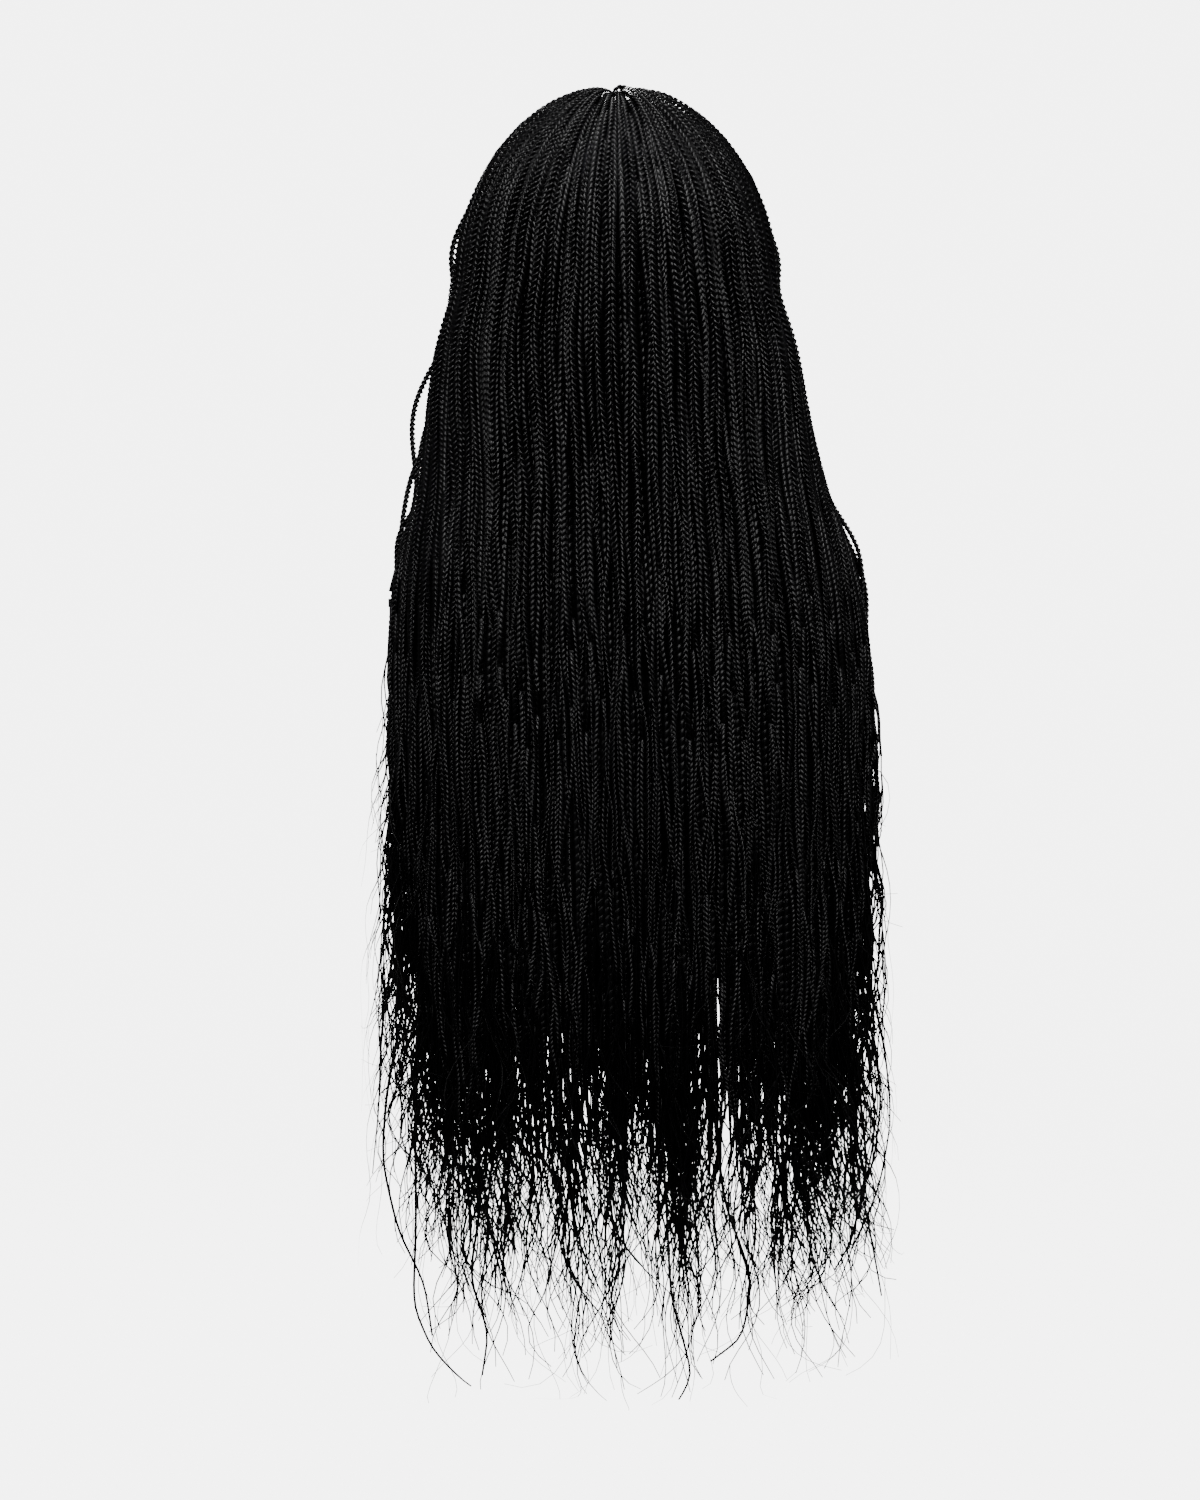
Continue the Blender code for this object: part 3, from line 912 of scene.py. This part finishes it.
def add_layer(pile, number, layer, tuft):
    """One lock's twists of one layer. Neighbours are laid up left and right handed by turns,
    which gives the herringbone that the real hair shows."""
    outermost = layer.depth == 0.0
    for k in range(layer.a_lock):
        across = (k + 0.5 + random.uniform(-CROWDING, CROWDING)) / layer.a_lock
        place = (number + across) / LOCKS_A_SIDE - 1.0
        birth = (GOLDEN_SHARE * (number * layer.a_lock + k)) % 1.0
        root = layer.first_root + (layer.last_root - layer.first_root) * birth
        depth = layer.depth
        if outermost:
            depth = OUTER_DEPTH * random.rand() + LOCK_ROUNDING * abs(2 * across - 1) ** 2.5
        route = twist_route(place, depth, root, tip_drop(place, depth), TWIST_ROOM)
        hand = 1 if (k + number) % 2 else -1
        add_twist(pile, route, place, hand, MODELLED if outermost else 0.0, tuft)


def add_cores(pile, number):
    for k in range(CORES_A_LOCK):
        place = (number + (k + 0.5) / CORES_A_LOCK) / LOCKS_A_SIDE - 1.0
        reach = random.uniform(*CORE_TIPS) - SIDE_RISE * place * place - EDGE_RISE * edge_share(place)
        route = twist_route(place, CORE_DEPTHS[k % 2], CORE_ROOT, reach, CORE_HALF, CORE_FREEDOM)
        at = np.array(CORE_AT) * run_lengths(route)[-1]
        core = laid(route, at, np.array(CORE_TAPER) * CORE_HALF)
        add_plain(pile, core, side_of(place), 1, 0.0, CORE_STEP, 4)


# %% [markdown]
# Some twists hang loose outside the rest. place: round the head, as above. start, end: the drops
# that the loose stretch lies between. stand_off: how far out it stands. aside: how far across.

# %% Loose twists
LOOSE_DEPTH = 0.03
LOOSE_ROOT = 0.12
LOOSE_MODELLED = 420 * MM
MODELLED_BELOW = 100 * MM

Loose = namedtuple("Loose", "place start end stand_off aside")
LOOSE = (
    Loose(0.74, 66 * MM, 124 * MM, 6.0 * MM, 1.0 * MM),
    Loose(0.79, 84 * MM, 150 * MM, 5.0 * MM, 2.0 * MM),
    Loose(0.86, 140 * MM, 262 * MM, 11.0 * MM, 3.0 * MM),
    Loose(0.93, 150 * MM, 275 * MM, 8.0 * MM, 1.0 * MM),
    Loose(0.97, 190 * MM, 300 * MM, 9.0 * MM, 2.0 * MM),
    Loose(0.99, 262 * MM, 305 * MM, 6.0 * MM, 1.0 * MM),
    Loose(0.985, 370 * MM, 450 * MM, 4.0 * MM, 1.0 * MM),
    Loose(0.97, 500 * MM, 600 * MM, 4.0 * MM, 3.0 * MM),
    Loose(-0.76, 74 * MM, 128 * MM, 5.0 * MM, -1.0 * MM),
    Loose(-0.82, 110 * MM, 190 * MM, 3.0 * MM, 0.0 * MM),
    Loose(-0.93, 262 * MM, 330 * MM, 6.0 * MM, -1.0 * MM),
    Loose(-0.97, 280 * MM, 345 * MM, 3.5 * MM, -1.0 * MM),
    Loose(-0.99, 405 * MM, 436 * MM, 5.0 * MM, -1.0 * MM),
    Loose(-0.985, 460 * MM, 560 * MM, 9.0 * MM, -3.0 * MM),
    Loose(-0.99, 585 * MM, 700 * MM, 14.0 * MM, -8.0 * MM),
    Loose(-0.96, 600 * MM, 690 * MM, 10.0 * MM, -6.0 * MM),
)


def add_loose(pile, loose, tuft):
    tip = tip_drop(loose.place, 0.0)
    route = twist_route(loose.place, LOOSE_DEPTH, LOOSE_ROOT, tip, TWIST_ROOM, 1.0, loose)
    modelled = min(LOOSE_MODELLED, loose.end + MODELLED_BELOW)
    add_twist(pile, route, loose.place, 1, modelled, tuft)


# %% [markdown]
# A few strands are given one by one, because they show clearly in the photograph. Their points are
# across, back and up, in mm.

# %% Strands given one by one
FINENESS = 8
CROWN_LOOP_AT = (0.0, 60 * MM)
CROWN_LOOP_HALF = (1.6 * MM, 2.0 * MM)
LONG_END_HALF = (1.1 * MM, 0.6 * MM)
LONG_END_STEP = 7 * MM

# A short loop of twist stands up just right of the end of the parting.
CROWN_LOOP = (
    (2.5, 24.0, -8.0),
    (1.4, 27.0, -2.2),
    (1.4, 28.0, 1.0),
    (-0.5, 28.0, 3.9),
    (-3.1, 27.0, 4.9),
    (-7.0, 25.0, 4.2),
    (-12.7, 20.0, 3.0),
    (-21.7, 14.0, 2.0),
)

# Ends that hang or curl clear of the rest, by lock.
LongEnd = namedtuple("LongEnd", "lock points")
LONG_ENDS = (
    LongEnd("lock_left_10", (
        (122, 62, -560), (127, 70, -650), (126, 75, -720),
        (128, 75, -770), (116, 80, -797), (91, 85, -822),
    )),
    LongEnd("lock_left_11", (
        (136, 60, -590), (146, 60, -640), (149, 60, -680),
        (138, 64, -725), (121, 70, -757), (116, 72, -790),
    )),
    LongEnd("lock_left_11", (
        (140, 55, -540), (150, 55, -600), (152, 55, -650),
        (158, 55, -690),
    )),
    LongEnd("lock_left_07", (
        (92, 84, -640), (84, 88, -700), (92, 90, -750),
        (80, 90, -785), (84, 90, -812),
    )),
    LongEnd("lock_right_02", (
        (-22, 112, -600), (-30, 120, -690), (-33, 122, -757),
        (-41, 124, -785), (-46, 124, -805), (-38, 124, -824),
    )),
    LongEnd("lock_right_04", (
        (-60, 104, -640), (-66, 108, -700), (-84, 108, -748),
        (-78, 108, -785), (-58, 108, -800),
    )),
    LongEnd("lock_right_10", (
        (-146, 60, -590), (-151, 65, -680), (-160, 65, -725),
        (-168, 65, -766),
    )),
    LongEnd("lock_right_11", (
        (-148, 55, -510), (-158, 60, -560), (-172, 60, -615),
        (-177, 60, -655), (-166, 60, -700), (-150, 60, -735),
    )),
    LongEnd("lock_right_11", (
        (-150, 52, -540), (-160, 56, -590), (-169, 56, -640),
        (-163, 56, -685), (-148, 56, -715),
    )),
    LongEnd("lock_right_12", (
        (-147, 45, -420), (-158, 48, -480), (-163, 48, -540),
        (-158, 48, -600), (-166, 48, -660), (-154, 48, -720),
    )),
    LongEnd("lock_right_12", (
        (-146, 45, -590), (-155, 48, -640), (-160, 48, -690),
        (-149, 48, -735), (-139, 48, -752),
    )),
)


def drawn_line(rows):
    """A smooth line that passes close to a few points, given in mm."""
    points = np.array(rows) * MM
    steps = np.linspace(0.0, 1.0, len(points))
    fine = np.linspace(0.0, 1.0, FINENESS * len(points))
    return smoothed(np.stack([np.interp(fine, steps, column) for column in points.T], -1), SMOOTHING)


def add_long_end(pile, long_end):
    line = drawn_line(long_end.points)
    length = run_lengths(line)[-1]
    strand = laid(line, (0.0, length), LONG_END_HALF)
    add_plain(pile, strand, BACKWARDS, 1, 0.0, LONG_END_STEP, 4)


# %% [markdown]
# Each lock's twists become one mesh that takes the place of that lock's solid.

# %% Locks of twists
TUFT_LEAN = 0.14
TUFT_SWINGS = (0.35, 0.85)


def build_lock(number, name):
    """Every twist of one lock. number: from 0 at the right of the face to the last at its left."""
    pile = Pile()
    tuft = new_wave(TUFT_LEAN, random.uniform(*TUFT_SWINGS))
    for layer in LAYERS:
        add_layer(pile, number, layer, tuft)
    add_cores(pile, number)
    for loose in LOOSE:
        if int((loose.place + 1.0) * LOCKS_A_SIDE) == number:
            add_loose(pile, loose, tuft)
    for long_end in LONG_ENDS:
        if long_end.lock == name:
            add_long_end(pile, long_end)
    if number == LOCKS_A_SIDE - 1:
        loop = laid(drawn_line(CROWN_LOOP), CROWN_LOOP_AT, CROWN_LOOP_HALF)
        add_rope(pile, loop, BACKWARDS, 1, 0.0, rings_a_half_turn=3, corners=4)
    return pile


def lock_name(number):
    if number < LOCKS_A_SIDE:
        return f"lock_right_{LOCKS_A_SIDE - number:02d}"
    return f"lock_left_{number - LOCKS_A_SIDE + 1:02d}"


triangles = []
for number in range(2 * LOCKS_A_SIDE):
    name = lock_name(number)
    mesh = build_lock(number, name).mesh("twists_" + name)
    mesh.materials.append(hair)
    piece = bpy.data.objects.new("twists_" + name, mesh)
    bpy.context.collection.objects.link(piece)
    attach(piece, "root")
    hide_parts(name)
    mesh.calc_loop_triangles()
    triangles.append(len(mesh.loop_triangles))
print("locks:", len(triangles), "triangles:", sum(triangles), "most in a lock:", max(triangles))

# %% [markdown]
# The cap is a knitted nylon net, dull and very dark. It only shows in the parting and from
# inside, so its CAD shape stays and it gets a fine net pattern.

# %% Cap
NET_CELL = 2.2 * MM
NET_RELIEF = 0.3 * MM

net, tree, shader = new_material("knitted_nylon_net")
place = add_node(tree, "ShaderNodeTexCoord")
cells = add_node(
    tree,
    "ShaderNodeTexVoronoi",
    {"feature": "DISTANCE_TO_EDGE"},
    {"Scale": 1 / NET_CELL},
    {"Vector": (place, "Object")},
)
threads = add_node(
    tree,
    "ShaderNodeMapRange",
    {},
    {"From Min": 0.0, "From Max": 0.16, "To Min": 1.0, "To Max": 0.0},
    {"Value": (cells, "Distance")},
)
relief = add_node(tree, "ShaderNodeBump", {}, {"Distance": NET_RELIEF}, {"Height": (threads, "Result")})
shade = add_node(
    tree,
    "ShaderNodeMix",
    {"data_type": "RGBA"},
    {"A": linear("#060606"), "B": linear("#161517")},
    {"Factor": (threads, "Result")},
)
tree.links.new(relief.outputs["Normal"], shader.inputs["Normal"])
tree.links.new(shade.outputs["Result"], shader.inputs["Base Color"])
shader.inputs["Roughness"].default_value = 0.85
shader.inputs["Specular IOR Level"].default_value = 0.2
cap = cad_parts["wig_cap"]
cap.data.materials.clear()
cap.data.materials.append(net)
print("cap finished in", net.name)
